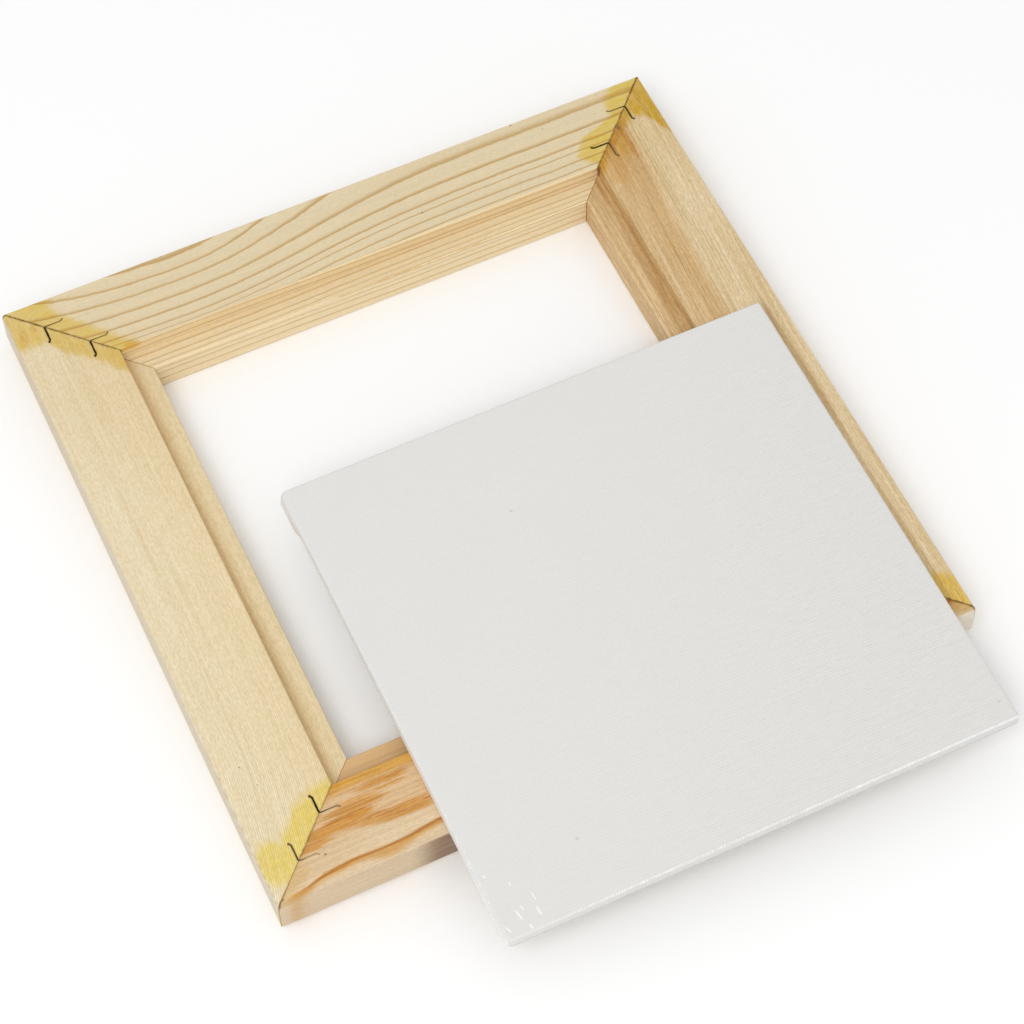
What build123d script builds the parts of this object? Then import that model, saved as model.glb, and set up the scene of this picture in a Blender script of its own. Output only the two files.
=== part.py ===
"""Square pine picture frame lying face down, with a wrapped canvas panel lying loose on its back.

Millimetres, +Z up. The frame's front face is at z = 0, and its back face, with V-nails across
each mitre, is uppermost. The canvas panel rests on the back face, moved towards the right rail
and out over the bottom rail. The origin is below the middle of the whole set.
"""

import os
from math import cos, radians, sin, sqrt

from build123d import *

os.makedirs("parts", exist_ok=True)

# Frame: the whole square, and the section of its four rails
frame_size = 200.0
rail_depth = 14.0
rail_width = 32.8
rabbet_width = 7.0
rabbet_depth = 4.2
front_edge_radius = 3.0
back_edge_ease = 0.8
back_edge_ease_height = 4.0
rabbet_edge_radius = 0.4
sight_edge_radius = 0.5

# Mitre joints: a film of glue and two V-nails in each
mitre_gap = 0.24
glue_recess = 0.1
nail_thickness = 0.45
nail_length = 7.0
nail_sink = 0.15
nail_leg = 4.9
nail_hook = 1.0
nail_hook_turn = 40.0
nail_bend_radius = 0.5

# How far each nail's tip lies inside both outer sides, by corner. They are driven by hand.
nail_insets = {
    "top_left": {"outer": 9.4, "inner": 19.3},
    "top_right": {"outer": 8.9, "inner": 19.1},
    "bottom_left": {"outer": 9.7, "inner": 19.7},
    "bottom_right": {"outer": 9.3, "inner": 19.4},
}

# Canvas panel: a stiff board, primed cloth wrapped round it and a paper liner on its back
canvas_width = 145.4
canvas_height = 144.2
canvas_corner_radius = 1.6
canvas_edge_radius = 0.6
board_thickness = 3.0
cloth_thickness = 0.4
cloth_turnover = 14.0
liner_thickness = 0.2
liner_margin = 4.0

# Where the panel lies on the frame
canvas_overhang = 34.5
canvas_right_gap = 7.5

# Worked out from the dimensions above
half_frame = frame_size / 2
half_sight = half_frame - rail_width
half_rabbet = half_sight + rabbet_width
ledge_height = rail_depth - rabbet_depth
frame_centre = Vector(0, canvas_overhang / 2, 0)
canvas_x = half_frame - canvas_right_gap - canvas_width / 2
canvas_y = frame_centre.Y - half_frame - canvas_overhang + canvas_height / 2
turnover_bottom = rail_depth + liner_thickness
board_bottom = turnover_bottom + cloth_thickness
cloth_height = board_thickness + 2 * cloth_thickness

# Each rail, with the turn about the vertical that brings the bottom rail to it
rail_turns = {"bottom": 0, "right": 90, "top": 180, "left": 270}

# Each corner, with the direction in which it points
corner_directions = {
    "top_left": Vector(-1, 1, 0).normalized(),
    "top_right": Vector(1, 1, 0).normalized(),
    "bottom_left": Vector(-1, -1, 0).normalized(),
    "bottom_right": Vector(1, -1, 0).normalized(),
}


def outward(rail):
    """Direction that points out of the frame, across a rail."""
    return Vector(0, -1, 0).rotate(Axis.Z, rail_turns[rail])


def section_plane(rail):
    """Plane across a rail at its middle: local x points out of the frame, local y up."""
    across = outward(rail)
    return Plane(origin=frame_centre, x_dir=across, z_dir=across.cross(Vector(0, 0, 1)))


def mitre_plane(corner, rail, distance):
    """Plane parallel to a corner's mitre, that far into the rail and facing along it."""
    direction = corner_directions[corner]
    across = outward(rail)
    facing = (across - direction * across.dot(direction)).normalized()
    return Plane(origin=frame_centre + facing * distance, z_dir=facing)


def draw_rail_section(recess=0.0):
    """Section of a rail: local x is the distance from the frame's centre.

    A recess draws it that much smaller all round.
    """
    rabbet_corner = (half_rabbet + recess, rail_depth - recess)
    with BuildLine() as outline:
        front = Line((half_sight + recess, recess), (half_frame - front_edge_radius, recess))
        front_edge = JernArc(front @ 1, front % 1, front_edge_radius - recess, 90)
        Line(front_edge @ 1, (half_frame - recess, rail_depth - back_edge_ease_height))
        back_edge = EllipticalCenterArc(
            (half_frame - back_edge_ease, rail_depth - back_edge_ease_height),
            back_edge_ease - recess,
            back_edge_ease_height - recess,
            arc_size=90,
        )
        Polyline(
            back_edge @ 1,
            rabbet_corner,
            (half_rabbet + recess, ledge_height - recess),
            (half_sight + recess, ledge_height - recess),
            front @ 0,
        )
    make_face(outline.edges())
    fillet(vertices().sort_by_distance(rabbet_corner)[0], rabbet_edge_radius)
    for height in (recess, ledge_height - recess):
        fillet(vertices().sort_by_distance((half_sight + recess, height))[0], sight_edge_radius)


def nail_plane(corner, inset, height):
    """Level plane with its origin at a nail's tip and local x along the mitre, into the frame."""
    direction = corner_directions[corner]
    tip = frame_centre + direction * (half_frame - inset) * sqrt(2)
    return Plane(origin=tip + Vector(0, 0, height), x_dir=direction * -1, z_dir=(0, 0, 1))


def draw_nail_profile():
    """V of bent strip: two legs along the rails, each with a short hook turned outwards."""
    hook_angle = radians(45 + nail_hook_turn)
    bend = Vector(nail_leg * cos(radians(45)), nail_leg * sin(radians(45)))
    end = bend + Vector(nail_hook * cos(hook_angle), nail_hook * sin(hook_angle))
    with BuildLine():
        strip = FilletPolyline(
            (end.X, end.Y),
            (bend.X, bend.Y),
            (0, 0),
            (bend.X, -bend.Y),
            (end.X, -end.Y),
            radius=nail_bend_radius,
        )
    trace(strip, nail_thickness)


def cut_nail_slots(corner):
    """Cuts the slots that a corner's nails have made, from the back face down."""
    for inset in nail_insets[corner].values():
        with BuildSketch(nail_plane(corner, inset, rail_depth)) as slot:
            draw_nail_profile()
        extrude(slot.sketch, amount=-nail_length - nail_sink, mode=Mode.SUBTRACT)


def panel_plane(height):
    """Level plane at that height, with its origin at the middle of the canvas panel."""
    return Plane(origin=(canvas_x, canvas_y, height), z_dir=(0, 0, 1))


def draw_board_outline():
    """Outline of the board: the panel's, less the cloth on its sides."""
    RectangleRounded(
        canvas_width - 2 * cloth_thickness,
        canvas_height - 2 * cloth_thickness,
        canvas_corner_radius - cloth_thickness,
    )


def draw_back_window():
    """Outline inside the cloth's turned-over edges, where the board's back is bare."""
    Rectangle(canvas_width - 2 * cloth_turnover, canvas_height - 2 * cloth_turnover)


# Rails: one section, cut to a mitre at both ends and slotted for the nails
for rail in rail_turns:
    corners = [
        name
        for name, direction in corner_directions.items()
        if direction.dot(outward(rail)) > 0
    ]
    with BuildPart() as frame_rail:
        with BuildSketch(section_plane(rail)):
            draw_rail_section()
        extrude(amount=half_frame, both=True)
        for corner in corners:
            split(bisect_by=mitre_plane(corner, rail, mitre_gap / 2), keep=Keep.TOP)
            cut_nail_slots(corner)
    frame_rail.part.label = f"frame_rail_{rail}"
    export_step(frame_rail.part, f"parts/{frame_rail.part.label}.step")

# Glue: the film left in each mitre, just below the surface of the wood all round
for corner, direction in corner_directions.items():
    rail = "top" if direction.Y > 0 else "bottom"
    with BuildPart() as mitre_glue:
        with BuildSketch(section_plane(rail)):
            draw_rail_section(glue_recess)
        extrude(amount=half_frame, both=True)
        split(bisect_by=mitre_plane(corner, rail, -mitre_gap / 2), keep=Keep.TOP)
        split(bisect_by=mitre_plane(corner, rail, mitre_gap / 2), keep=Keep.BOTTOM)
        cut_nail_slots(corner)
    mitre_glue.part.label = f"mitre_glue_{corner}"
    export_step(mitre_glue.part, f"parts/{mitre_glue.part.label}.step")

# V-nails: bent steel strip driven in from the back, two across each mitre
for corner, insets in nail_insets.items():
    for place, inset in insets.items():
        with BuildPart() as v_nail:
            with BuildSketch(nail_plane(corner, inset, rail_depth - nail_sink)):
                draw_nail_profile()
            extrude(amount=-nail_length)
        v_nail.part.label = f"v_nail_{corner}_{place}"
        export_step(v_nail.part, f"parts/{v_nail.part.label}.step")

# Board: the stiff core of the canvas panel
with BuildPart() as panel_board:
    with BuildSketch(panel_plane(board_bottom)):
        draw_board_outline()
    extrude(amount=board_thickness)
panel_board.part.label = "panel_board"
export_step(panel_board.part, "parts/panel_board.step")

# Cloth: primed cotton over the board's face and sides, turned over and glued on its back
with BuildPart() as canvas_cloth:
    with BuildSketch(panel_plane(turnover_bottom)):
        RectangleRounded(canvas_width, canvas_height, canvas_corner_radius)
    extrude(amount=cloth_height)
    fillet(faces().sort_by(Axis.Z)[-1].edges(), canvas_edge_radius)
    with BuildSketch(panel_plane(board_bottom)):
        draw_board_outline()
    extrude(amount=board_thickness, mode=Mode.SUBTRACT)
    with BuildSketch(panel_plane(turnover_bottom)):
        draw_back_window()
    extrude(amount=cloth_thickness, mode=Mode.SUBTRACT)
canvas_cloth.part.label = "canvas_cloth"
export_step(canvas_cloth.part, "parts/canvas_cloth.step")

# Liner: paper over the turned-over edges, pressed down onto the board between them
with BuildPart() as back_liner:
    with BuildSketch(panel_plane(rail_depth)):
        Rectangle(canvas_width - 2 * liner_margin, canvas_height - 2 * liner_margin)
    extrude(amount=liner_thickness)
    with BuildSketch(panel_plane(turnover_bottom)):
        draw_back_window()
    extrude(amount=cloth_thickness)
back_liner.part.label = "back_liner"
export_step(back_liner.part, "parts/back_liner.step")
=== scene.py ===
import math

import bmesh
import bpy
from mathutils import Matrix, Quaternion, Vector, noise


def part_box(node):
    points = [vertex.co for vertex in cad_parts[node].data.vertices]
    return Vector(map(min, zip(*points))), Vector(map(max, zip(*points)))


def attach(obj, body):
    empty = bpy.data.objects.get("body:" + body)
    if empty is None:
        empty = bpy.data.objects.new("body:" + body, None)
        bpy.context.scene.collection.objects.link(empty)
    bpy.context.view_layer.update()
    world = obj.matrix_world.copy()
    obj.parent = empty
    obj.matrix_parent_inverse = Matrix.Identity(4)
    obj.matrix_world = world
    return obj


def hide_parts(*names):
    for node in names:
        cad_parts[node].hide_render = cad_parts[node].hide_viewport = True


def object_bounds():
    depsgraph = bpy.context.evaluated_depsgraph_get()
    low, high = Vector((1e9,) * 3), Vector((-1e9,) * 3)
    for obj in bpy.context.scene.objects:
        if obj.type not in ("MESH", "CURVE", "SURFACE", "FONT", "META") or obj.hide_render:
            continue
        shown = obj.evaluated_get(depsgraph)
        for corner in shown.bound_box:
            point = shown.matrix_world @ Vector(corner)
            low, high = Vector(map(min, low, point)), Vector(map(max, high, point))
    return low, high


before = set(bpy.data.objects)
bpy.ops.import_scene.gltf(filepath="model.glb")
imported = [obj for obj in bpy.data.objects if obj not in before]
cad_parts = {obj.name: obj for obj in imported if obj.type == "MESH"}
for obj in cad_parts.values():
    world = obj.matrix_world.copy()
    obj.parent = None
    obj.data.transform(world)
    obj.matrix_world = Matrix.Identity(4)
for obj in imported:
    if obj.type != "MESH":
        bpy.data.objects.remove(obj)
cad_low, cad_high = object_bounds()

MM = 0.001

# Camera: it looks at a point near the middle of the frame's back face
CAMERA_TARGET = Vector((1.9, -3.4, 14.0)) * MM
CAMERA_DISTANCE = 797.3 * MM
CAMERA_AZIMUTH = -24.52
CAMERA_ELEVATION = 58.85
CAMERA_ROLL = -0.85
CAMERA_LENS = 104.1

# Directions of each rail, seen from the frame's back: along it, and outwards across it
RAIL_AXES = {
    "top": ((1, 0, 0), (0, 1, 0)),
    "right": ((0, -1, 0), (1, 0, 0)),
    "bottom": ((1, 0, 0), (0, -1, 0)),
    "left": ((0, -1, 0), (-1, 0, 0)),
}

frame_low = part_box("frame_rail_left")[0]
frame_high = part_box("frame_rail_right")[1]
FRAME_CENTRE = (frame_low + frame_high) / 2
# Height of the frame's back face, in millimetres. It faces up.
BACK_FACE = frame_high.z / MM


# ---------------------------------------------------------------- material graphs


class Field:
    """A value that varies over a surface. Arithmetic on it adds Math nodes to its graph."""

    def __init__(self, graph, socket):
        self.graph = graph
        self.socket = socket

    def __add__(self, other):
        return self.graph.math("ADD", self, other)

    def __radd__(self, other):
        return self.graph.math("ADD", other, self)

    def __sub__(self, other):
        return self.graph.math("SUBTRACT", self, other)

    def __rsub__(self, other):
        return self.graph.math("SUBTRACT", other, self)

    def __mul__(self, other):
        return self.graph.math("MULTIPLY", self, other)

    def __rmul__(self, other):
        return self.graph.math("MULTIPLY", other, self)

    def __truediv__(self, other):
        return self.graph.math("DIVIDE", self, other)


class Graph:
    """The node graph of one material. Lengths in it are millimetres."""

    def __init__(self, name):
        self.material = bpy.data.materials.new(name)
        self.material.use_nodes = True
        self.tree = self.material.node_tree
        self.tree.nodes.clear()
        self.place = self.add("ShaderNodeTexCoord").outputs["Object"]

    def add(self, kind, **settings):
        """A new node with those settings."""
        node = self.tree.nodes.new(kind)
        for name, value in settings.items():
            setattr(node, name, value)
        return node

    def put(self, value, socket):
        """Gives a socket a field, a number, or a colour whose channels may be fields."""
        if isinstance(value, tuple) and any(isinstance(part, Field) for part in value):
            value = self.vector(*value)
        if isinstance(value, Field):
            self.tree.links.new(value.socket, socket)
        elif socket.type == "RGBA":
            socket.default_value = (*value, 1.0)
        else:
            socket.default_value = value

    def math(self, operation, a, b=0.0):
        """Result of one Math node."""
        node = self.add("ShaderNodeMath", operation=operation)
        for value, socket in zip((a, b), node.inputs):
            self.put(value, socket)
        return Field(self, node.outputs[0])

    def along(self, direction, origin):
        """Distance of a surface point from an origin, along a direction."""
        shift = self.add("ShaderNodeVectorMath", operation="SUBTRACT")
        self.tree.links.new(self.place, shift.inputs[0])
        shift.inputs[1].default_value = origin
        dot = self.add("ShaderNodeVectorMath", operation="DOT_PRODUCT")
        self.tree.links.new(shift.outputs[0], dot.inputs[0])
        dot.inputs[1].default_value = Vector(direction) / MM
        return Field(self, dot.outputs["Value"])

    def vector(self, x, y, z):
        """A vector made of three fields or numbers."""
        node = self.add("ShaderNodeCombineXYZ")
        for value, socket in zip((x, y, z), node.inputs):
            self.put(value, socket)
        return Field(self, node.outputs[0])

    def noise(self, vector, detail=2.0, roughness=0.5):
        """Smooth noise from 0 to 1, one unit of the vector to a cell."""
        node = self.add("ShaderNodeTexNoise")
        self.put(vector, node.inputs["Vector"])
        node.inputs["Scale"].default_value = 1.0
        node.inputs["Detail"].default_value = detail
        node.inputs["Roughness"].default_value = roughness
        return Field(self, node.outputs[0])

    def ramp(self, value, start, end, kind="SMOOTHSTEP"):
        """0 before start, 1 after end, and smooth between them. Start may be the higher."""
        node = self.add("ShaderNodeMapRange", interpolation_type=kind)
        self.put(value, node.inputs["Value"])
        node.inputs["From Min"].default_value = start
        node.inputs["From Max"].default_value = end
        return Field(self, node.outputs[0])

    def mix(self, factor, first, second):
        """Colour that goes from first to second as factor goes from 0 to 1."""
        node = self.add("ShaderNodeMix", data_type="RGBA")
        self.put(factor, node.inputs[0])
        self.put(first, node.inputs[6])
        self.put(second, node.inputs[7])
        return Field(self, node.outputs[2])

    def tint(self, colour, factor, tone):
        """Colour multiplied by a tone, as far as factor goes."""
        node = self.add("ShaderNodeMix", data_type="RGBA", blend_type="MULTIPLY")
        self.put(factor, node.inputs[0])
        self.put(colour, node.inputs[6])
        self.put(tone, node.inputs[7])
        return Field(self, node.outputs[2])

    def shade(self, colour, amount):
        """Colour made lighter or darker by a varying amount."""
        node = self.add("ShaderNodeVectorMath", operation="SCALE")
        self.put(colour, node.inputs[0])
        self.put(amount, node.inputs["Scale"])
        return Field(self, node.outputs[0])

    def grain(self, colour, amount, shares):
        """Lighter and darker fibres, which change red, green and blue by unequal shares."""
        change = amount - 1
        return self.tint(colour, 1.0, tuple(1 + share * change for share in shares))

    def finish(self, colour, roughness, height=None, **settings):
        """Ends the graph in one shader. Height is in millimetres."""
        shader = self.add("ShaderNodeBsdfPrincipled")
        self.put(colour, shader.inputs["Base Color"])
        self.put(roughness, shader.inputs["Roughness"])
        for name, value in settings.items():
            self.put(value, shader.inputs[name.replace("_", " ")])
        if height is not None:
            bump = self.add("ShaderNodeBump")
            bump.inputs["Distance"].default_value = MM
            self.put(height, bump.inputs["Height"])
            self.tree.links.new(bump.outputs[0], shader.inputs["Normal"])
        output = self.add("ShaderNodeOutputMaterial")
        self.tree.links.new(shader.outputs[0], output.inputs["Surface"])
        return self.material


# ---------------------------------------------------------------- wood

# Where the frame's surfaces are, in millimetres: outwards from its centre (u), and up (z)
LEDGE_EDGE_U = 67.4
RABBET_WALL_U = 74.2
OUTER_SIDE_U = (frame_high.x - frame_low.x) / 2 / MM
LEDGE_Z = 10.0

# How strongly the grain changes red, green and blue in pale wood and in warm wood
PALE_GRAIN = (0.74, 0.89, 1.58)
WARM_GRAIN = (0.68, 0.91, 1.52)


def spot(g, s, u, centre, size, edge=0.35):
    """1 inside an oval spot on a rail and 0 outside it."""
    off_s = (s - centre[0]) / size[0]
    off_u = (u - centre[1]) / size[1]
    distance = g.math("SQRT", off_s * off_s + off_u * off_u)
    return g.ramp(distance, 1 + edge, 1 - edge)


def most(g, fields):
    """The largest of several fields."""
    largest = fields[0]
    for field in fields[1:]:
        largest = g.math("MAXIMUM", largest, field)
    return largest


def profile(g, place, points):
    """A value given at a few places, with straight lines between them."""
    last_place, last_value = points[0]
    total = last_value
    for next_place, next_value in points[1:]:
        step = g.ramp(place, last_place, next_place, "LINEAR") * (next_value - last_value)
        total = step + total
        last_place, last_value = next_place, next_value
    return total


def hump(g, place, centre, width):
    """1 at a centre, falling smoothly to 0 on both sides."""
    off = (place - centre) / width
    return g.math("EXPONENT", -1 * off * off)


def contrast(g, field, low=0.36, high=0.64):
    """Noise stretched to fill 0 to 1."""
    return g.ramp(field, low, high, "LINEAR")


def inside_rabbet(g, u):
    """1 on the ledge and the walls inside the rabbet, and 0 on the back face."""
    return g.ramp(u, RABBET_WALL_U + 0.5, RABBET_WALL_U + 0.1)


def fibres(g, s, u, z, seed):
    """Grain along the rail, each from 0 to 1: long thin fibres, and short dashes."""
    thin = contrast(g, g.noise(g.vector(s * 0.022, u * 2.1 + seed, z * 2.1), 2.0, 0.6))
    short = contrast(g, g.noise(g.vector(s * 0.80, u * 2.3 + seed, z * 2.3), 2.0, 0.6))
    return thin, short


def bands(g, s, u, z, seed):
    """Broad paler and warmer bands along the rail, from 0 to 1."""
    return g.noise(g.vector(s * 0.012, u * 0.35 + seed, z * 0.35), 2.0)


# The top rail's growth rings: where the middle of the tree lies outwards from the frame's centre,
# the radius of the first ring that shows, and how wide each ring is from there
TOP_PITH_U = 107.0
TOP_RING_START = 23.05
TOP_RING_WIDTHS = (
    2.4, 2.0, 2.6, 1.8, 2.2, 2.3,
    1.35, 1.7, 2.35, 2.3, 2.1, 1.2, 1.9, 1.7,
    1.2, 1.1, 1.0, 1.1, 0.8, 1.0, 0.9, 1.0,
)


def top_rail(g, s, u, z):
    """Plain-sawn pine: growth rings that run out of the rail's outer edge in long curves."""
    left = g.math("MINIMUM", s + 50, 0.0) / 62
    right = g.math("MAXIMUM", s + 50, 0.0) / 45
    inner = inside_rabbet(g, u)
    arch = g.math("EXPONENT", -1 * (left * left + right * right)) * (1 - 0.8 * inner)
    depth = 40 - 5 * arch
    wander = g.noise(g.vector(s * 0.045, u * 0.02, z * 0.02), 4.0, 0.6) - 0.5
    rough = g.noise(g.vector(s * 0.30, u * 0.9, z * 0.9), 2.0, 0.6) - 0.5
    across = u - TOP_PITH_U
    below = (z - BACK_FACE) + depth
    radius = g.math("SQRT", across * across + below * below) + wander * 0.50 + rough * 0.16
    ring = 0.0
    start = TOP_RING_START
    for width in TOP_RING_WIDTHS:
        ring = g.ramp(radius, start, start + width, "LINEAR") + ring
        start += width
    part = g.math("FRACT", ring)
    late = g.ramp(part, 0.70, 0.93) * g.ramp(part, 1.0, 0.95)
    early_warmth = g.ramp(part, 0.25, 0.9)
    thin, short = fibres(g, s, u, z, 3.0)
    broad = bands(g, s, u, z, 3.0)
    colour = g.mix(broad, (0.695, 0.565, 0.350), (0.735, 0.615, 0.405))
    colour = g.mix(early_warmth * 0.10, colour, (0.62, 0.44, 0.19))
    ledge = inner * g.ramp(u, LEDGE_EDGE_U, LEDGE_EDGE_U + 0.3) * g.ramp(z, LEDGE_Z + 0.3, LEDGE_Z)
    line = late * (0.58 + 0.35 * broad + 0.12 * thin) * (1 - 0.15 * inner)
    colour = g.mix(line, colour, (0.49, 0.300, 0.095))
    colour = g.shade(colour, 0.93 + 0.05 * thin + 0.085 * short)
    # Painted light and shade: the walls inside the rabbet are painted lighter, and the ledge and
    # the lip darker
    lip = g.ramp(u, LEDGE_EDGE_U, LEDGE_EDGE_U - 0.4)
    colour = g.shade(colour, 1.0 + 0.24 * inner - 0.18 * ledge - 0.07 * lip)
    colour = g.tint(colour, inner, (1.0, 0.965 + 0.045 * lip, 0.91 + 0.13 * lip))
    return colour, late * 0.02 + short * 0.010


def left_rail(g, s, u, z):
    """Pale even pine: close straight lines, which rise a little near its lower end."""
    past = g.math("MAXIMUM", s - 42, 0.0)
    across = u - past * past * 0.0021
    thin, short = fibres(g, s, across, z, 11.0)
    sway = g.noise(g.vector(s * 0.02, across * 0.05, z * 0.05 + 2.0), 2.0) - 0.5
    lines = g.math("SINE", (across + z * 0.35 + sway * 2.0) * (2 * math.pi / 0.56))
    mottle = contrast(g, g.noise(g.vector(s * 0.22, u * 0.40, z * 0.40 + 5.0), 3.0, 0.6))
    colour = g.mix(g.ramp(u, 75, 98), (0.748, 0.612, 0.378), (0.765, 0.650, 0.432))
    colour = g.tint(colour, g.ramp(s, -30, -65), (0.965, 0.945, 0.915))
    colour = g.mix(mottle * 0.15, colour, (0.680, 0.480, 0.235))
    thread = g.ramp(g.math("ABSOLUTE", across - 91.3 + sway), 0.38, 0.08)
    thread = thread * g.ramp(s, -65, -40) * g.ramp(s, 85, 55)
    colour = g.mix(thread * 0.15, colour, (0.52, 0.33, 0.13))
    low_end = g.ramp(s, 20, 75)
    lines_share = (0.020 + 0.085 * low_end) * (0.5 + thin)
    grain = 0.852 + 0.170 * short + 0.100 * thin + lines * lines_share
    colour = g.grain(colour, grain, PALE_GRAIN)
    # Painted shade and a painted reflection of the pale surroundings: the outer side is darker and
    # greyer
    colour = g.tint(colour, g.ramp(u, OUTER_SIDE_U - 0.7, OUTER_SIDE_U - 0.2), (0.86, 0.88, 1.01))
    # Painted shade on the ledge beside the rabbet wall
    wall_shade = g.ramp(u, 69.5, 73.8) * inside_rabbet(g, u)
    colour = g.tint(colour, wall_shade, (0.95, 0.86, 0.72))
    return colour, short * 0.014 + thin * 0.010


def right_rail(g, s, u, z):
    """Quarter-sawn pine: dense broken lines, warmer and browner towards the rabbet."""
    across = u + g.math("MINIMUM", s, 0.0) * 0.055
    thin, short = fibres(g, s, across, z, 23.0)
    sway = g.noise(g.vector(s * 0.02, across * 0.05, z * 0.05 + 2.0), 1.0) - 0.5
    lines = g.math("SINE", (across + z * 0.35 + sway * 4.0) * (2 * math.pi / 0.58))
    inner = g.ramp(across + sway * 3.0, 86.0, 82.0)
    blotch = contrast(g, g.noise(g.vector(s * 0.03, across * 0.45, z * 0.45 + 4.0), 3.0, 0.6))
    streak = g.noise(g.vector(s * 0.03, across * 1.7, z * 1.7 + 9.0), 2.0)
    streak = g.ramp(streak, 0.54, 0.70)
    colour = g.mix(blotch, (0.712, 0.552, 0.314), (0.777, 0.636, 0.407))
    warm = g.mix(blotch, (0.625, 0.412, 0.180), (0.701, 0.485, 0.244))
    colour = g.mix(inner * (0.95 - 0.30 * g.ramp(u, 80, 76)), colour, warm)
    colour = g.mix(streak * (0.26 + 0.22 * inner), colour, (0.44, 0.23, 0.08))
    # A brown streak in the wood beside the canvas's right edge, partly painted shadow of that edge
    far = g.ramp(g.math("ABSOLUTE", u - 94.8), 1.1, 0.4) * g.ramp(s, -16, -6)
    colour = g.mix(far * (0.62 - 0.35 * g.ramp(s, 15, 50)), colour, (0.44, 0.27, 0.105))
    dashes = contrast(g, g.noise(g.vector(s * 0.42, across * 3.0, z * 3.0 + 17.0), 2.0, 0.7))
    grain = 0.770 + 0.250 * thin + 0.170 * short + lines * (0.045 + 0.020 * inner)
    colour = g.grain(colour, grain, WARM_GRAIN)
    colour = g.tint(colour, 0.42 - 0.42 * dashes, (0.62, 0.50, 0.36))
    colour = g.tint(colour, g.ramp(s, -45, -75), (0.955, 0.925, 0.86))
    ledge = inside_rabbet(g, u)
    # The faces inside the rabbet are painted a little lighter, with painted shade on the ledge
    # beside the rabbet wall
    wall_shade = ledge * g.ramp(u, 69.0, 72.2)
    colour = g.shade(colour, 1.0 + 0.05 * ledge)
    colour = g.tint(colour, wall_shade, (0.92, 0.88, 0.78))
    dark = ledge * g.ramp(g.noise(g.vector(s * 0.012, u * 0.9, z * 0.9 + 2.0), 2.0), 0.50, 0.62)
    colour = g.mix(dark * 0.32, colour, (0.38, 0.20, 0.07))
    resin = spot(g, s, u, (-73.9, RABBET_WALL_U), (1.0, 0.6))
    resin = resin * g.ramp(z, LEDGE_Z + 0.3, LEDGE_Z + 1.2)
    colour = g.mix(resin * 0.85, colour, (0.20, 0.075, 0.015))
    return colour, thin * 0.012 + short * 0.014


# Where the bottom rail's resin vein runs: places along the rail, and its distance outwards there
VEIN = ((-96, 99.0), (-91, 98.0), (-86, 96.6), (-78, 95.9), (-70, 96.2), (-63, 96.0), (-54, 95.0))
# Its resin patches: middle, half sizes and strength
RESIN_PATCHES = (
    ((-86.0, 88.2), (5.0, 1.3), 0.9),
    ((-82.0, 86.0), (5.5, 1.5), 0.95),
    ((-74.5, 85.0), (7.5, 2.4), 1.0),
    ((-71.5, 82.2), (7.5, 1.4), 0.95),
    ((-60.0, 88.6), (9.5, 1.9), 1.0),
    ((-68.0, 87.6), (6.0, 1.2), 0.8),
    ((-70.0, 80.4), (5.0, 0.6), 0.75),
    ((-62.0, 80.2), (5.0, 0.5), 1.0),
    ((-62.0, 78.6), (9.0, 0.8), 0.9),
)


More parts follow.
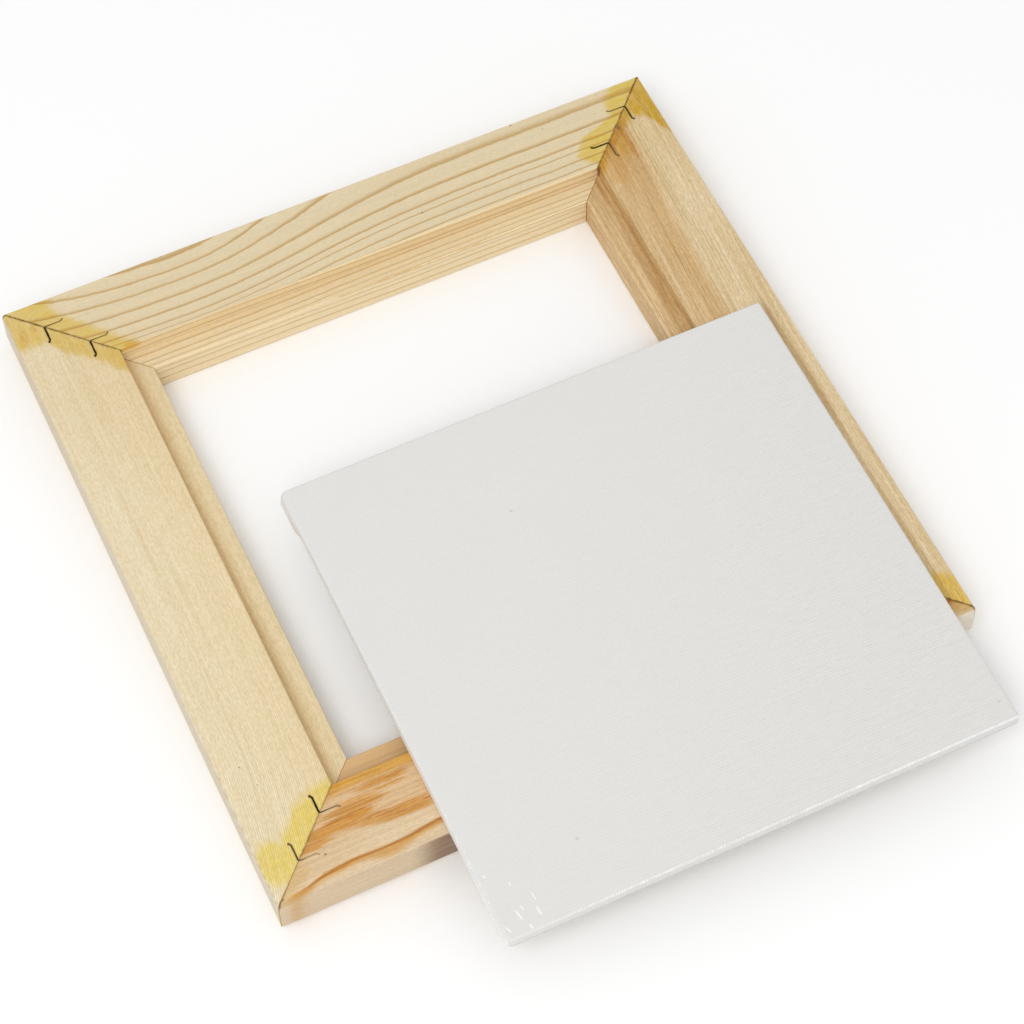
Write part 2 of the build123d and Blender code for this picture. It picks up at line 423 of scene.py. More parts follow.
def bottom_rail(g, s, u, z):
    """Pine with resin-soaked streaks: amber by the rabbet, brown patches in the middle."""
    thin, short = fibres(g, s, u, z, 41.0)
    broad = bands(g, s, u, z, 41.0)
    fringe = g.noise(g.vector(s * 0.06, u * 0.9, z * 0.9 + 6.0), 4.0, 0.65) - 0.5
    frayed = u + fringe * 3.6
    colour = g.mix(broad, (0.690, 0.510, 0.300), (0.735, 0.570, 0.365))
    colour = g.tint(colour, g.ramp(s, -66, -84) * g.ramp(u, 97.5, 95), (0.95, 0.91, 0.86))
    pink = g.ramp(frayed, 90.5, 88.0)
    colour = g.mix(pink * 0.65, colour, (0.655, 0.420, 0.205))
    resin = [
        spot(g, s + fringe * 14.0, frayed, centre, size, 0.30) * strength
        for centre, size, strength in RESIN_PATCHES
    ]
    in_streaks = contrast(g, g.noise(g.vector(s * 0.05, u * 1.7, z * 1.7 + 8.0), 3.0, 0.65))
    soaked_in = most(g, resin) * (0.64 + 0.38 * in_streaks)
    colour = g.mix(soaked_in, colour, (0.565, 0.245, 0.020))
    back = g.ramp(z, 12.0, 13.5)
    amber = g.ramp(frayed, 78.6, 76.4) * back
    colour = g.mix(amber * (0.65 + 0.35 * in_streaks), colour, (0.620, 0.305, 0.022))
    threads = g.noise(g.vector(s * 0.07, u * 2.2, z * 2.2 + 5.0), 2.0, 0.6)
    threads = g.ramp(threads, 0.54, 0.62) * g.ramp(u, 91.0, 88.0)
    colour = g.mix(threads * (0.32 + 0.42 * most(g, resin)), colour, (0.41, 0.145, 0.014))
    beyond_vein = u - profile(g, s, VEIN) + fringe
    reach = 1.1 + 1.5 * hump(g, s, -68, 5) + 0.8 * g.noise(g.vector(s * 0.15, 1.0, 1.0), 1.0)
    halo = g.ramp(beyond_vein, -0.8, -0.2) * g.ramp(beyond_vein / reach, 1.4, 0.3)
    halo = halo * g.ramp(s, -99, -94)
    core = g.ramp(g.math("ABSOLUTE", beyond_vein), 0.65, 0.15) * g.ramp(s, -95, -88)
    colour = g.mix(halo * (0.62 + 0.33 * in_streaks), colour, (0.600, 0.285, 0.035))
    colour = g.mix(core * (0.62 + 0.38 * in_streaks), colour, (0.410, 0.145, 0.010))
    rim = g.ramp(u, 98.6, 99.6)
    colour = g.tint(colour, rim, (0.92, 0.94, 1.0))
    side = g.ramp(u, OUTER_SIDE_U - 0.8, OUTER_SIDE_U - 0.3)
    # Painted shadow of the overhanging canvas on the outer side
    overhang_shadow = side * g.ramp(s, -64, -55) * g.ramp(s, -47, -51) * (0.75 + 0.25 * in_streaks)
    colour = g.tint(colour, overhang_shadow, (0.36, 0.27, 0.24))
    # Painted light: the outer side is painted paler at the rail's right end, where the overhanging
    # canvas shades it
    colour = g.mix(side * g.ramp(s, 93, 96) * 0.8, colour, (0.86, 0.78, 0.67))
    colour = g.shade(colour, 0.845 + 0.14 * thin + 0.14 * short)
    ledge = inside_rabbet(g, u) * (1 - back)
    smooth = g.mix(thin, (0.590, 0.370, 0.160), (0.650, 0.415, 0.195))
    smooth = g.shade(smooth, 0.97 + 0.12 * g.ramp(u, 70.2, 69.6))
    colour = g.mix(ledge * 0.85, colour, smooth)
    return colour, thin * 0.012 + short * 0.012


# How each rail's wood looks
RAIL_WOODS = {
    "top": top_rail,
    "right": right_rail,
    "bottom": bottom_rail,
    "left": left_rail,
}

# Glue stains at each rail's start and end: the tone that glue gives the wood, and how far along
# the rail it reaches from the mitre, at several distances from the frame's centre
GLUE_STAINS = {
    "top": (
        ((0.92, 0.80, 0.28), ((75, 6.0), (85, 7.0), (89, 7.4), (93, 7.6), (96, 9.7), (99, 11.6))),
        ((0.92, 0.80, 0.20), ((75, 0.5), (77, 4.5), (80, 9.5), (85, 11.0), (89.5, 4.5), (96, 9.0))),
    ),
    "right": (
        (
            (0.81, 0.63, 0.02),
            ((75, 3.5), (79, 2.5), (86, 3.0), (91.5, 5.2), (95, 9.5), (99.5, 24.0)),
        ),
        ((0.95, 0.81, 0.22), ((75, 5.0), (90, 6.0), (95, 9.0), (99.5, 11.0))),
    ),
    "bottom": (
        ((0.93, 0.85, 0.62), ((75, 3.0), (80, 0.5), (90, 2.0), (94, 5.0), (97, 4.0))),
        ((0.76, 0.60, 0.28), ((75, 6.0), (99, 6.0))),
    ),
    "left": (
        ((0.89, 0.76, 0.29), ((75, 8.5), (81, 7.0), (89, 8.6), (91.5, 6.4), (94, 9.0), (99, 13.0))),
        (
            (0.96, 0.89, 0.32),
            ((75, 3.0), (80, 6.5), (84, 9.3), (91, 9.3), (93.5, 7.0), (95.5, -2.0)),
        ),
    ),
}

# Which corner each rail starts and ends at
RAIL_ENDS = {
    "top": ("top_left", "top_right"),
    "right": ("top_right", "bottom_right"),
    "bottom": ("bottom_left", "bottom_right"),
    "left": ("top_left", "bottom_left"),
}

# How dark each mitre's glue is, from 0 to 1, at several distances from the frame's centre
GLUE_DARKNESS = {
    "top_left": ((67, 0.60), (74, 0.90), (82, 0.80), (99, 1.00)),
    "top_right": ((67, 1.00), (73, 1.00), (75, 0.70), (90, 0.75), (98, 1.00)),
    "bottom_left": (
        (67, 0.40), (74, 0.45), (80, 0.20), (84, 0.55),
        (89, 0.50), (92, 0.22), (96, 0.28), (98.5, 0.80),
    ),
    "bottom_right": ((67, 0.70), (99, 0.90)),
}

# Glue that reaches beyond the stain at its mitre, by rail and corner: middle and half sizes
OUTLYING_GLUE = {("left", "bottom_left"): ((88.5, 96.0), (6.3, 4.6))}

# Separate stains by rail: middle, half sizes and tone
SEPARATE_STAINS = {
    "top": (((-70.5, 74.5), (2.6, 1.4), (0.94, 0.78, 0.50)),),
    "right": (
        ((-80.5, 83.3), (6.5, 3.4), (0.95, 0.82, 0.30)),
        ((-79.0, 86.2), (7.0, 0.8), (0.86, 0.66, 0.34)),
        ((-73.0, 78.5), (7.0, 4.0), (0.96, 0.86, 0.60)),
    ),
    "bottom": (),
    "left": (
        ((-89.3, 96.8), (2.6, 1.3), (0.94, 0.82, 0.62)),
        ((-91.5, 93.6), (1.6, 1.0), (0.94, 0.82, 0.66)),
    ),
}

# Dark specks by rail: middle and half width
SPECKS = {
    "top": (((21.4, 81.2), 0.24), ((57.8, 99.0), 0.24), ((65.6, 93.8), 0.18), ((17.0, 90.2), 0.15)),
    "right": (((-84.6, 85.8), 0.55),),
    "bottom": (((-98.3, 98.4), 0.40), ((-83.5, 91.5), 0.28)),
    "left": (((59.7, 93.8), 0.18), ((66.3, 91.5), 0.15)),
}

# How plainly each nail shows on the two rails that it joins, from 0 (closed over by the wood) to
# 1 (black, in bruised wood): first on the top or bottom rail, then on the left or right rail
NAIL_SHOWS = {
    "top_left_outer": (0.45, 1.0),
    "top_left_inner": (0.45, 1.0),
    "top_right_outer": (0.55, 0.90),
    "top_right_inner": (0.95, 0.66),
    "bottom_left_outer": (0.10, 0.75),
    "bottom_left_inner": (0.45, 1.0),
    "bottom_right_outer": (0.5, 0.8),
    "bottom_right_inner": (0.5, 0.8),
}


# How far a nail's hooks stand out beyond the middle of its legs
HOOK_REACH = 0.8 * MM

MITRE_DIRT_COLOUR = (0.19, 0.085, 0.012)
BRUISE_COLOUR = (0.035, 0.018, 0.004)
SPECK_COLOUR = (0.20, 0.085, 0.020)


def nail_tip(nail):
    """The point of a nail's V, from one corner of its box."""
    vertical, horizontal, _ = nail.split("_")
    low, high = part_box(f"v_nail_{nail}")
    x = low.x + HOOK_REACH if horizontal == "left" else high.x - HOOK_REACH
    y = high.y - HOOK_REACH if vertical == "top" else low.y + HOOK_REACH
    return Vector((x, y, high.z))


def soaked(g, from_mitre, s, u, z, reach, seed):
    """1 where glue has soaked in from a mitre, and 0 beyond its reach."""
    fingers = g.noise(g.vector(s * 0.10, u * 1.1, z * 1.1 + seed), 3.0, 0.6) - 0.5
    waves = g.noise(g.vector(s * 0.25, u * 0.25, seed + 7.0), 2.0) - 0.5
    inside = profile(g, u, reach) - from_mitre + fingers * 5.0 + waves * 3.0
    return g.ramp(inside, -1.6, 1.9)


def bruise(g, rail, s, u, nail, uneven):
    """1 in the wood beside a nail's leg on one rail, where it was crushed and blackened."""
    vertical = nail.split("_")[0]
    shows = NAIL_SHOWS[nail][0 if rail == vertical else 1]
    along, outward = RAIL_AXES[rail]
    tip = (nail_tip(nail) - FRAME_CENTRE) / MM
    tip_s, tip_u = tip.dot(Vector(along)), tip.dot(Vector(outward))
    inwards = -1 if tip_s > 0 else 1
    from_tip = (s - tip_s) * inwards
    level = g.math("ABSOLUTE", u - tip_u)
    leg = g.ramp(level, 0.30 + 0.25 * shows, 0.20) * g.ramp(from_tip, -0.4, 0.0)
    leg = leg * g.ramp(from_tip, 5.3, 4.8)
    hook = spot(g, from_tip, u, (5.3, tip_u + 0.4), (0.50, 0.45), 0.4)
    return g.math("MAXIMUM", leg, hook) * (shows * shows) * (0.40 + 0.60 * uneven)


def rail_material(rail):
    """Wood of one rail, with the glue that has soaked in at its mitres."""
    g = Graph(f"pine_{rail}")
    along, outward = RAIL_AXES[rail]
    s = g.along(along, FRAME_CENTRE)
    u = g.along(outward, FRAME_CENTRE)
    z = g.along((0, 0, 1), (0, 0, 0))
    colour, height = RAIL_WOODS[rail](g, s, u, z)
    on_back = g.ramp(z, BACK_FACE - 2.2, BACK_FACE - 0.5)
    patchy = contrast(g, g.noise(g.vector(s * 0.20, u * 0.7, z * 0.7 + 4.0), 3.0, 0.6))
    waver = (g.noise(g.vector(s * 0.3, u * 0.8, 3.0), 2.0) - 0.5) * 2.0
    stains = []
    dirt = 0.0
    uneven = contrast(g, g.noise(g.vector(s * 0.7, u * 0.7, z * 0.2 + 6.0), 2.0, 0.6))
    ends = zip((u + s, u - s), (1.0, 2.0), RAIL_ENDS[rail], GLUE_STAINS[rail])
    for from_mitre, seed, corner, (tone, reach) in ends:
        stain = soaked(g, from_mitre, s, u, z, reach, seed)
        if (rail, corner) in OUTLYING_GLUE:
            centre, size = OUTLYING_GLUE[rail, corner]
            oval = spot(g, s + waver, u + waver * 0.5, centre, size, 0.30)
            stain = most(g, [stain, oval])
        stains.append(stain)
        colour = g.tint(colour, stain * on_back * (0.76 + 0.24 * patchy), tone)
        dirt = g.ramp(from_mitre, 0.85, 0.20) * profile(g, u, GLUE_DARKNESS[corner]) + dirt
    for centre, size, tone in SEPARATE_STAINS[rail]:
        oval = spot(g, s + waver * 1.5, u + waver * 0.5, centre, size, 0.45)
        colour = g.tint(colour, oval * on_back * (0.55 + 0.45 * patchy), tone)
    colour = g.mix(dirt * on_back * (0.10 + 0.80 * uneven), colour, MITRE_DIRT_COLOUR)
    near = [nail for nail in NAIL_SHOWS if rail in nail]
    marks = most(g, [bruise(g, rail, s, u, nail, uneven) for nail in near])
    colour = g.mix(marks * on_back, colour, BRUISE_COLOUR)
    for centre, half_width in SPECKS[rail]:
        dot = spot(g, s, u, centre, (half_width * 1.3, half_width), 0.6) * on_back
        colour = g.mix(dot * 0.75, colour, SPECK_COLOUR)
    roughness = 0.62 - 0.14 * most(g, stains)
    return g.finish(colour, roughness, height)


# ---------------------------------------------------------------- other materials


def glue_material(corner):
    """Dried glue, darkened by sawdust in the joint."""
    g = Graph(f"glue_{corner}")
    vertical, horizontal = corner.split("_")
    u = g.along(RAIL_AXES[horizontal][1], FRAME_CENTRE)
    v = g.along(RAIL_AXES[vertical][1], FRAME_CENTRE)
    z = g.along((0, 0, 1), (0, 0, 0))
    grain = contrast(g, g.noise(g.vector(u * 0.9, v * 0.9, z * 0.9), 3.0, 0.6))
    darkness = profile(g, u, GLUE_DARKNESS[corner]) * (0.30 + 0.85 * grain)
    darkness = darkness * (0.45 + 0.55 * g.ramp(z, LEDGE_Z - 1, BACK_FACE - 1))
    low_outside = g.ramp(u, OUTER_SIDE_U - 0.7, OUTER_SIDE_U - 0.2) * g.ramp(z, 12.8, 11.0)
    darkness = darkness * (1 - 0.7 * low_outside)
    colour = g.mix(darkness, (0.52, 0.33, 0.12), (0.060, 0.026, 0.006))
    return g.finish(colour, 0.55 + 0.2 * grain, grain * 0.04, Specular_IOR_Level=0.15)


def nail_material(nail):
    """Blackened strip steel, dulled by dust and glue where it hardly shows."""
    g = Graph(f"steel_{nail}")
    tip = nail_tip(nail)
    x = g.math("ABSOLUTE", g.along((1, 0, 0), tip))
    y = g.math("ABSOLUTE", g.along((0, 1, 0), tip))
    z = g.along((0, 0, 1), tip)
    scale = g.noise(g.vector(x * 1.4, y * 1.4, z * 0.3), 3.0, 0.6)
    bare = g.ramp(scale, 0.62, 0.74)
    colour = g.mix(bare, (0.020, 0.013, 0.007), (0.10, 0.085, 0.07))
    hidden_x, hidden_y = (1 - shows for shows in NAIL_SHOWS[nail])
    along_x = g.ramp(x - y, -0.4, 0.4)
    hidden = along_x * hidden_x + (1 - along_x) * hidden_y
    far_out = g.ramp(g.math("MAXIMUM", x, y), 0.8, 2.6)
    dust = hidden * (0.5 + 0.5 * far_out) * (0.75 + 0.5 * scale) * g.ramp(z, -0.6, -0.1)
    colour = g.mix(dust, colour, (0.50, 0.36, 0.17))
    return g.finish(colour, 0.55, scale * 0.02, Metallic=1 - dust)


def liner_material():
    """Plain uncoated paper: faint fibres and mottling."""
    g = Graph("liner_paper")
    x = g.along((1, 0, 0), FRAME_CENTRE)
    y = g.along((0, 1, 0), FRAME_CENTRE)
    cloud = g.noise(g.vector(x * 0.08, y * 0.08, 0.0), 4.0, 0.6)
    fibre = g.noise(g.vector(x * 0.8, y * 2.2, 3.0), 4.0, 0.7)
    colour = g.mix(cloud, (0.60, 0.57, 0.49), (0.68, 0.65, 0.58))
    colour = g.shade(colour, 0.94 + 0.12 * fibre)
    return g.finish(colour, 0.85, fibre * 0.03)


def board_material():
    """Brown hardboard: short matted fibres."""
    g = Graph("fibreboard")
    x = g.along((1, 0, 0), FRAME_CENTRE)
    y = g.along((0, 1, 0), FRAME_CENTRE)
    z = g.along((0, 0, 1), FRAME_CENTRE)
    fibre = g.noise(g.vector(x * 1.5, y * 1.5, z * 4.0), 5.0, 0.7)
    colour = g.mix(g.ramp(fibre, 0.3, 0.7), (0.24, 0.15, 0.075), (0.36, 0.25, 0.14))
    return g.finish(colour, 0.8, fibre * 0.05)


# Distance between the cloth's ribs, and between the threads that cross them
RIB_PITCH = 0.83
THREAD_PITCH = 0.62

# Creases pressed into the primer near the lower left corner, each also painted white as a
# highlight, from the panel's middle:
# middle, direction in degrees, half length and half width
CREASES = (
    ((-67, -66.5), -80, 2.0, 0.20),
    ((-65.5, -65), -75, 1.0, 0.16),
    ((-62, -67.5), -85, 1.6, 0.20),
    ((-61.5, -63.5), -85, 1.4, 0.14),
    ((-65.5, -70.5), -85, 1.0, 0.20),
    ((-71, -69), -65, 1.2, 0.16),
    ((-70.5, -53.5), -60, 0.5, 0.20),
    ((-65.5, -58), -80, 0.6, 0.16),
)
# Faint grey specks in the primer: place from the panel's middle
CLOTH_SPECKS = ((-19, 40), (-45, -54), (70, -66))


def crease(g, x, y, middle, degrees, half_length, half_width):
    """1 along a short straight crease, and 0 away from it."""
    turn = math.radians(degrees)
    dx, dy = x - middle[0], y - middle[1]
    along = dx * math.cos(turn) + dy * math.sin(turn)
    across = dy * math.cos(turn) - dx * math.sin(turn)
    ends = g.ramp(g.math("ABSOLUTE", along), half_length, half_length * 0.5)
    return ends * g.ramp(g.math("ABSOLUTE", across), half_width * 2.1, half_width * 0.3)


def cloth_material():
    """Cotton with several coats of white primer. Its thick weft makes ribs across the panel."""
    g = Graph("primed_cotton")
    low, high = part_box("canvas_cloth")
    centre = (low + high) / 2
    half_x = (high.x - low.x) / 2 / MM
    half_y = (high.y - low.y) / 2 / MM
    half_z = (high.z - low.z) / 2 / MM
    x = g.along((1, 0, 0), centre)
    y = g.along((0, 1, 0), centre)
    z = g.along((0, 0, 1), centre)
    drift = g.noise(g.vector(x * 0.03, y * 0.5, z * 0.5), 2.0) - 0.5
    lumps = g.noise(g.vector(x * 0.9, y * 0.9, z * 0.9), 2.0, 0.6)
    row = (y + z + drift * 0.45) / RIB_PITCH
    rib = g.math("SINE", row * (2 * math.pi))
    odd = g.math("MODULO", g.math("FLOOR", row), 2.0)
    over = g.math("SINE", (x + z + odd * (THREAD_PITCH / 2)) * (2 * math.pi / THREAD_PITCH))
    broken = contrast(g, g.noise(g.vector(x * 0.20, y * 1.1, z * 1.1 + 8.0), 2.0, 0.6))
    fill = contrast(g, g.noise(g.vector(x * 0.07, y * 0.07, z * 0.07 + 8.0), 2.0))
    primer = g.noise(g.vector(x * 1.6, y * 1.6, z * 1.6), 3.0, 0.65) - 0.5
    bare = g.ramp(x * 0.8 - y * 0.6, -45, 75)
    ribs = rib * (0.22 + 0.36 * bare + broken * (0.85 - 0.34 * bare))
    weave = (ribs + over * 0.35) * (0.45 + 0.55 * bare + 0.25 * fill)
    specks = [spot(g, x, y, place, (0.45, 0.35), 0.6) for place in CLOTH_SPECKS]
    colour = g.mix(fill, (0.726, 0.717, 0.690), (0.736, 0.728, 0.705))
    colour = g.shade(colour, 0.992 + 0.022 * weave + 0.055 * primer)
    colour = g.mix(most(g, specks) * 0.30, colour, (0.30, 0.29, 0.27))

    # The front side is uneven low down with painted shade along its bottom edge, the left side
    # painted lighter, and its folded corner tinted pinkish beige
    front = g.ramp(y, 0.7 - half_y, 0.1 - half_y)
    low_down = g.ramp(z, half_z - 0.6, half_z - 1.2)
    colour = g.shade(colour, 1 + front * low_down * (0.07 - 0.14 * lumps))
    # Painted shade along the bottom edge of the front side
    under = front * g.ramp(z, 1.1 - half_z, 0.4 - half_z)
    colour = g.shade(colour, 1 - under * (0.08 + 0.26 * lumps))
    # Painted light: the left side is painted lighter
    side = g.ramp(x, 0.5 - half_x, 0.1 - half_x) * g.ramp(z, half_z - 0.35, half_z - 0.9)
    colour = g.mix(side * 0.9, colour, (0.86, 0.86, 0.86))
    folded = side * hump(g, y, half_y - 10.5, 4.0) * g.ramp(z, half_z - 0.6, half_z - 1.8)
    colour = g.tint(colour, folded, (0.97, 0.90, 0.82))

    # Threads stand proud where the cloth turns over its edges, and the primer there is glossy.
    # These beads and the creases are also painted white as highlights.
    front_rim = g.ramp(g.math("ABSOLUTE", y + (half_y - 0.35)), 0.42, 0.12)
    front_rim = front_rim * g.ramp(z, half_z - 0.9, half_z - 0.5)
    bead = g.math("SINE", (x + lumps * 0.9) * (2 * math.pi / (THREAD_PITCH * 1.4)))
    smoother = g.ramp(x, 5, 55)
    raised = g.ramp(bead * (1 - 0.6 * smoother) + (lumps - 0.5) * 5.0 + smoother, -0.7, 1.6)
    front_bead = front_rim * raised * (0.30 + 0.70 * g.ramp(x, -half_x, -30))
    left_rim = g.ramp(g.math("ABSOLUTE", x + (half_x - 0.40)), 0.45, 0.12)
    left_rim = left_rim * g.ramp(z, half_z - 0.9, half_z - 0.5)
    some = g.noise(g.vector(y * 0.55, 3.0, 3.0), 2.0)
    standing = g.ramp(rib * 0.5 + (lumps - 0.5) * 7.0, 0.1, 1.5)
    left_bead = left_rim * standing * g.ramp(some - y * 0.0022, 0.44, 0.60) * 0.8
    creases = [crease(g, x, y, *values) for values in CREASES]
    ridges_and_glints = most(g, [front_bead, left_bead] + creases)
    # Painted highlights along the beads and the creases
    colour = g.mix(ridges_and_glints * 0.80, colour, (0.93, 0.93, 0.925))
    height = weave * 0.046 + primer * 0.048 + ridges_and_glints * 0.03
    return g.finish(colour, 0.55 - 0.25 * ridges_and_glints, height, Coat_Weight=0.12, Coat_Roughness=0.25)


# ---------------------------------------------------------------- cloth of the canvas panel

# Rounding of the edge round the face, and of the edge underneath
EDGE_RADIUS = 0.7
UNDER_RADIUS = 0.4
# Radius of each corner's outline: the signs of x and y say which corner it is
CORNER_RADII = {(-1, -1): 1.8, (-1, 1): 1.6, (1, -1): 0.9, (1, 1): 0.8}
# The face is one flat grid up to this distance from the edge
FLAT_FROM = 5.0
# How far the face lies below the top of its box, before its unevenness
FACE_SINK = 0.06
TURNOVER = 14.0
CLOTH_THICKNESS = 0.4
# Distances from a corner at which the mesh has points, and how many gaps lie between the corners
GRADED = (0.0, 0.3, 0.6, 0.9, 1.25, 1.6, 2.2, 3.0, 4.0)
SIDE_GAPS = 56
ARC_STEPS = 6
# How far a corner's fold stands out and how long it is: the upper left corner's, and the others'
BIG_FOLD = (0.62, 13.5)
SMALL_FOLD = (0.22, 11.5)


def side_places(half):
    """Places along one side of the panel, closer together near its ends."""
    inner = half - GRADED[-1]
    middle = [inner * (2 * i / SIDE_GAPS - 1) for i in range(SIDE_GAPS + 1)]
    ends = [half - distance for distance in GRADED[:-1]]
    return [-end for end in ends] + middle + ends[::-1]


def cloth_profile(height):
    """Runs from the face over the edge, down the side and under: (inset, depth, rounding)."""
    points = [(FLAT_FROM, 0.0, 0.0), (3.6, 0.0, 0.35), (2.4, 0.0, 0.7), (1.5, 0.0, 0.9)]
    turns = [math.pi / 2 * i / ARC_STEPS for i in range(ARC_STEPS + 1)]
    for turn in turns:
        inset, depth = EDGE_RADIUS * (1 - math.sin(turn)), EDGE_RADIUS * (1 - math.cos(turn))
        points.append((inset, depth, 1.0))
    straight = height - EDGE_RADIUS - UNDER_RADIUS
    points += [(0.0, EDGE_RADIUS + straight * i / 4, 1.0) for i in range(1, 4)]
    for turn in turns:
        inset = UNDER_RADIUS * (1 - math.cos(turn))
        depth = height - UNDER_RADIUS + UNDER_RADIUS * math.sin(turn)
        points.append((inset, depth, 1.0))
    points += [(1.2, height, 0.9), (2.4, height, 0.6), (4.0, height, 0.2)]
    points += [(7.0, height, 0.0), (10.5, height, 0.0), (TURNOVER, height, 0.0)]
    return points


def corner_bulge(along, half, amount, length):
    """How far a folded corner stands out, by the distance along the side from that corner."""
    t = half - along
    rise = min(1.0, max(0.0, t / 1.5))
    fall = min(1.0, max(0.0, (length - t) / 1.6))
    return amount * rise * rise * (3 - 2 * rise) * fall * fall * (3 - 2 * fall)


def make_cloth():
    """Primed cotton wrapped round the board, with folded corners and turned-over edges."""
    low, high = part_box("canvas_cloth")
    centre = (low + high) / 2
    half_x = (high.x - low.x) / 2 / MM
    half_y = (high.y - low.y) / 2 / MM
    height = (high.z - low.z) / MM
    xs = side_places(half_x)
    ys = side_places(half_y)
    bm = bmesh.new()

    def place(x, y, depth):
        return bm.verts.new((centre.x + x * MM, centre.y + y * MM, high.z - depth * MM))

    def slack(x, y):
        """Unevenness of the cloth, which is glued down flat but not perfectly."""
        return 0.05 * noise.noise(Vector((x / 22, y / 22, 3.0)))

    # The face inside FLAT_FROM is a grid. Its border then continues in loops round the edge.
    shrink_x = (half_x - FLAT_FROM) / half_x
    shrink_y = (half_y - FLAT_FROM) / half_y
    grid = [
        [place(x * shrink_x, y * shrink_y, FACE_SINK + slack(x, y)) for x in xs] for y in ys
    ]
    for j in range(len(ys) - 1):
        for i in range(len(xs) - 1):
            bm.faces.new((grid[j][i], grid[j][i + 1], grid[j + 1][i + 1], grid[j + 1][i]))
    nx, ny = len(xs) - 1, len(ys) - 1
    border = [(i, 0) for i in range(nx)]
    border += [(nx, j) for j in range(ny)]
    border += [(nx - i, ny) for i in range(nx)]
    border += [(0, ny - j) for j in range(ny)]

    def rounded(x, y, inset, rounding):
        """Point of the outline at that inset, with its corners rounded as far as rounding says."""
        a, b = half_x - inset, half_y - inset
        on_x_side = abs(abs(x) - half_x) < 1e-6
        t = (half_y - abs(y)) if on_x_side else (half_x - abs(x))
        sx, sy = math.copysign(1, x), math.copysign(1, y)
        flat = (sx * a, y * b / half_y) if on_x_side else (x * a / half_x, sy * b)
        outermost = CORNER_RADII[int(sx), int(sy)]
        radius = max(outermost - inset, 0.2)
        if t >= outermost:
            return flat
        turn = math.pi / 4 * (1 - t / outermost)
        near, far = radius * math.cos(turn), radius * math.sin(turn)
        if on_x_side:
            arc = (sx * (a - radius + near), sy * (b - radius + far))
        else:
            arc = (sx * (a - radius + far), sy * (b - radius + near))
        return tuple(f + (c - f) * rounding for f, c in zip(flat, arc))

    loops = [[grid[j][i] for i, j in border]]
    for inset, depth, rounding in cloth_profile(height)[1:]:
        loop = []
        for i, j in border:
            x, y = rounded(xs[i], ys[j], inset, rounding)
            if depth < EDGE_RADIUS:
                sink = FACE_SINK + slack(xs[i], ys[j])
                down = depth + sink * (1 - depth / EDGE_RADIUS) ** 2
            else:
                down = depth
            low_down = min(1.0, depth / height)
            if i in (0, nx) and inset < 3:
                # The corners' folds lie on the panel's two side edges, thickest low down
                side = -1 if i == 0 else 1
                for end in (-1, 1):
                    amount, length = BIG_FOLD if i == 0 and end == 1 else SMALL_FOLD
                    out = corner_bulge(ys[j] * end, half_y, amount, length)
                    x += side * out * (0.25 + 0.75 * low_down) * (1 - inset / 3)
            if inset >= 4.0:
                wobble = 0.6 * noise.noise(Vector((xs[i] / 9, ys[j] / 9, 1.0)))
                share = (inset - 4.0) / (TURNOVER - 4.0)
                x -= math.copysign(wobble * share, x)
                y -= math.copysign(wobble * share, y)
            loop.append(place(x, y, down))
        loops.append(loop)
    for outer, inner in zip(loops[1:], loops):
        count = len(outer)
        for k in range(count):
            n = (k + 1) % count
            bm.faces.new((inner[k], outer[k], outer[n], inner[n]))
    bmesh.ops.recalc_face_normals(bm, faces=bm.faces)
    mesh = bpy.data.meshes.new("primed_cloth")
    bm.to_mesh(mesh)
    bm.free()
    for polygon in mesh.polygons:
        polygon.use_smooth = True
    cloth = bpy.data.objects.new("primed_cloth", mesh)
    bpy.context.scene.collection.objects.link(cloth)
    thicken = cloth.modifiers.new("thickness", "SOLIDIFY")
    thicken.thickness = CLOTH_THICKNESS * MM
    thicken.offset = -1.0
    cloth.data.materials.append(cloth_material())
    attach(cloth, "canvas")
    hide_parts("canvas_cloth")
    return cloth


# ---------------------------------------------------------------- stage, lights and camera

FLOOR_HALF_SIZE = 4.0
FLOOR_GAP = 0.05 * MM
SURROUNDINGS_STRENGTH = 0.775
SENSOR_WIDTH = 36.0


def make_stage():
    """Plain pale floor."""
    g = Graph("floor")
    x = g.along((1, 0, 0), (0, 0, 0))
    y = g.along((0, 1, 0), (0, 0, 0))
    cloud = g.noise(g.vector(x * 0.004, y * 0.004, 0.0), 2.0)
    colour = g.mix(cloud, (0.955, 0.955, 0.955), (0.97, 0.97, 0.97))
    material = g.finish(colour, 0.7)
    size = FLOOR_HALF_SIZE
    mesh = bpy.data.meshes.new("floor")
    corners = [(-size, -size, 0), (size, -size, 0), (size, size, 0), (-size, size, 0)]
    mesh.from_pydata(corners, [], [(0, 1, 2, 3)])
    floor = bpy.data.objects.new("floor", mesh)
    floor.location.z = cad_low.z - FLOOR_GAP
    mesh.materials.append(material)
    bpy.context.scene.collection.objects.link(floor)


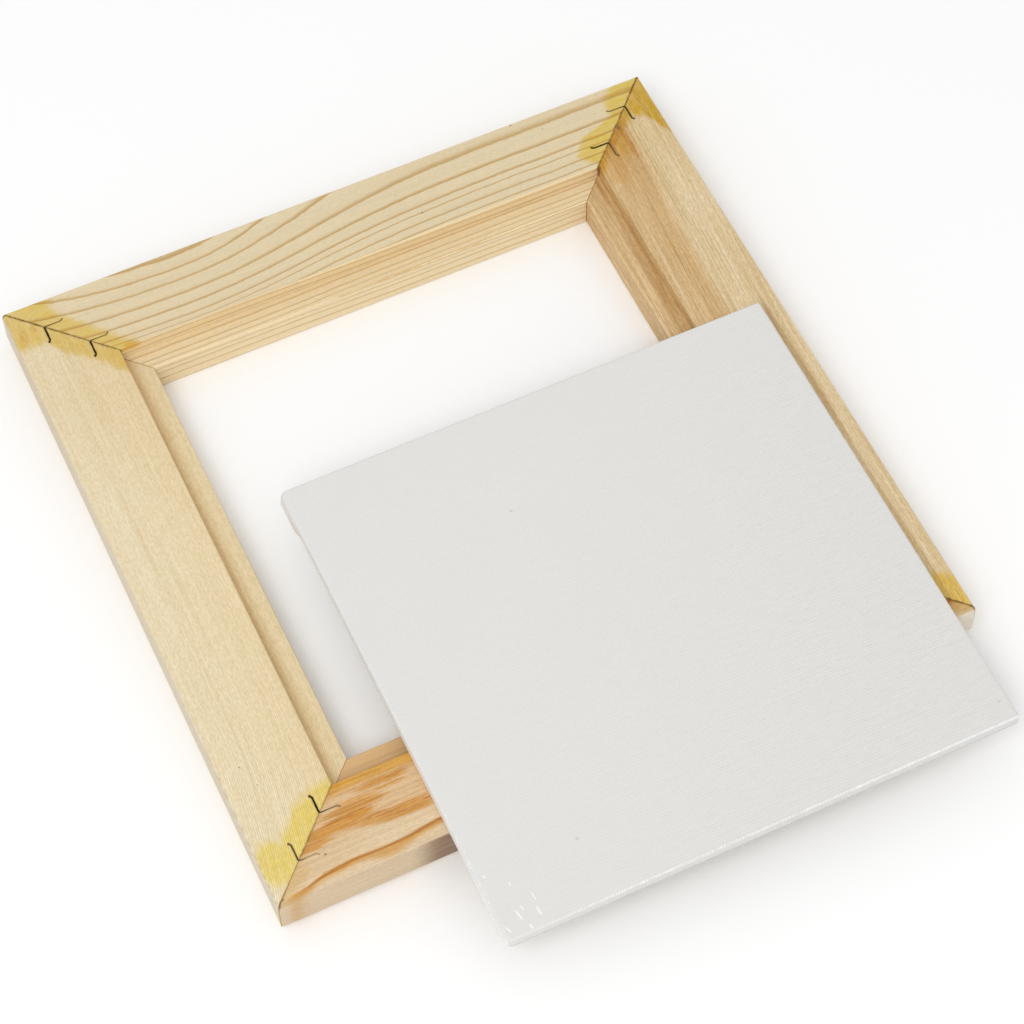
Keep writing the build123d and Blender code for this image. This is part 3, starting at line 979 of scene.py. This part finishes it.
def add_light(name, direction, distance, size, power):
    """Square soft light that shines at the object from that direction."""
    light = bpy.data.lights.new(name, "AREA")
    light.shape = "SQUARE"
    light.size = size
    light.energy = power
    lamp = bpy.data.objects.new(name, light)
    direction = Vector(direction).normalized()
    lamp.location = direction * distance
    lamp.rotation_mode = "QUATERNION"
    lamp.rotation_quaternion = direction.to_track_quat("Z", "Y")
    bpy.context.scene.collection.objects.link(lamp)


def make_lights():
    """Bright even surroundings, with one large soft light in front and to the left."""
    world = bpy.data.worlds.new("studio")
    bpy.context.scene.world = world
    world.use_nodes = True
    background = world.node_tree.nodes["Background"]
    background.inputs["Color"].default_value = (1.0, 1.0, 1.0, 1.0)
    background.inputs["Strength"].default_value = SURROUNDINGS_STRENGTH
    add_light("key", direction=(-0.40, -0.40, 0.85), distance=1.8, size=1.0, power=12.0)


def make_camera():
    """Camera at the set viewing angle."""
    azimuth = math.radians(CAMERA_AZIMUTH)
    elevation = math.radians(CAMERA_ELEVATION)
    level = math.cos(elevation)
    back = Vector(
        (math.sin(azimuth) * level, -math.cos(azimuth) * level, math.sin(elevation))
    )
    camera = bpy.data.objects.new("camera", bpy.data.cameras.new("camera"))
    camera.data.lens = CAMERA_LENS
    camera.data.sensor_width = SENSOR_WIDTH
    camera.data.clip_start = 0.05
    camera.data.clip_end = 20.0
    camera.location = CAMERA_TARGET + back * CAMERA_DISTANCE
    camera.rotation_mode = "QUATERNION"
    roll = Quaternion((0, 0, 1), math.radians(CAMERA_ROLL))
    camera.rotation_quaternion = (-back).to_track_quat("-Z", "Y") @ roll
    bpy.context.scene.collection.objects.link(camera)
    bpy.context.scene.camera = camera


def dress(node, material):
    """Gives a CAD node one material."""
    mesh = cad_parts[node].data
    mesh.materials.clear()
    mesh.materials.append(material)


for rail in RAIL_AXES:
    dress(f"frame_rail_{rail}", rail_material(rail))
for corner in GLUE_DARKNESS:
    dress(f"mitre_glue_{corner}", glue_material(corner))
for nail in NAIL_SHOWS:
    dress(f"v_nail_{nail}", nail_material(nail))
dress("panel_board", board_material())
dress("back_liner", liner_material())
make_cloth()
make_stage()
make_lights()
make_camera()
bpy.context.scene.view_settings.view_transform = "Standard"
